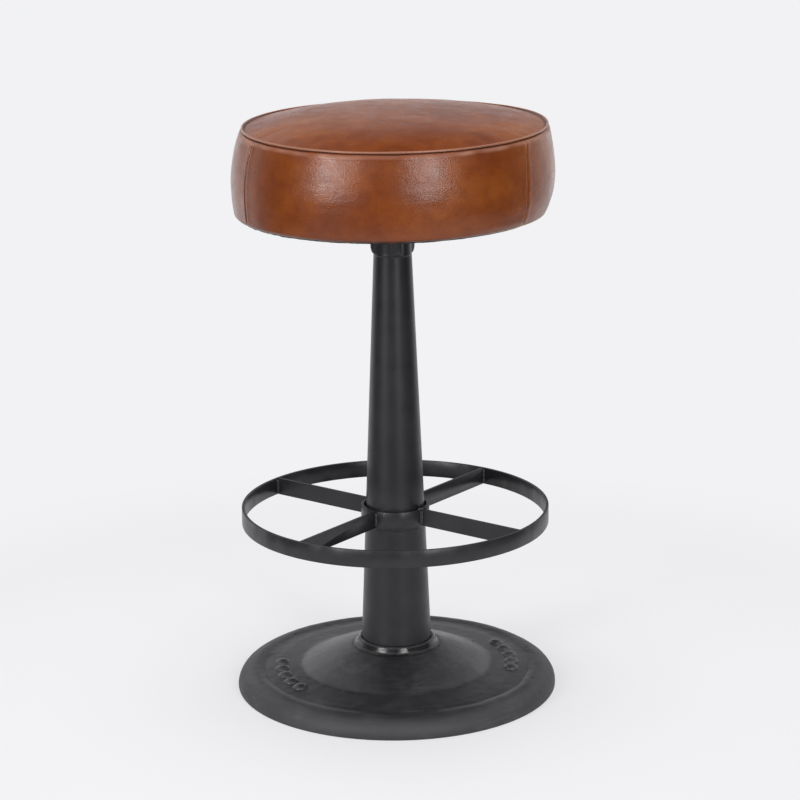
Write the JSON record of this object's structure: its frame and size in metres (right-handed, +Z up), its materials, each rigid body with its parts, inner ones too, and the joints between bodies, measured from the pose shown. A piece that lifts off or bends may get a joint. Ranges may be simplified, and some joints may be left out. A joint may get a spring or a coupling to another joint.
{
  "type": "counter stool",
  "caption": "Counter stool with a round leather cushion that swivels on a tapered steel column, a ring footrest on spokes and a round cast iron base.",
  "frame": {"origin": "middle of the round base, on the floor", "axes": "+Z up along the column; +X to the right and +Y to the back in the picture"},
  "size_m": [0.358, 0.358, 0.65],
  "materials": {
    "leather": "semi-gloss tan, hand rubbed, fine grain",
    "black_steel": "satin black powder coat",
    "cast_iron": "blackened, semi-gloss, brushed",
    "zinc_steel": "zinc plated",
    "bearing_steel": "polished",
    "plywood": "bare sanded plywood",
    "foam": "open-cell foam with wadding",
    "dust_cloth": "matt black non-woven cloth"
  },
  "bodies": {
    "pedestal": {"base_casting": "cast_iron", "column": "black_steel", "column_foot_plate": "black_steel", "foot_weld_bead": "black_steel", "base_washers": "zinc_steel", "base_bolts": "zinc_steel", "footrest_ring": "black_steel", "footrest_collar": "black_steel", "footrest_spoke_back_right": "black_steel", "footrest_spoke_back_left": "black_steel", "footrest_spoke_front_left": "black_steel", "footrest_spoke_front_right": "black_steel", "footrest_weld_beads": "black_steel", "collar_weld_bead": "black_steel", "seat_post": "black_steel", "post_weld_bead": "black_steel", "mounting_plate": "black_steel", "mounting_bolts": "zinc_steel", "mounting_nuts": "zinc_steel", "swivel_lower_plate": "zinc_steel", "swivel_ball_cage": "zinc_steel", "swivel_balls": "bearing_steel", "swivel_pivot_rivet": "zinc_steel"},
    "seat": {"swivel_upper_plate": "zinc_steel", "seat_screws": "zinc_steel", "seat_tee_nuts": "zinc_steel", "seat_board": "plywood", "dust_cover": "dust_cloth", "seat_foam": "foam", "leather_top_panel": "leather", "leather_side_panel_1": "leather", "leather_side_panel_2": "leather", "leather_side_panel_3": "leather"}
  },
  "joints": [
    {"name": "seat_swivel", "type": "hinge", "parent": "pedestal", "child": "seat", "pos_m": [0, 0, 0.5379], "axis": [0, 0, 1], "continuous": true}
  ]
}
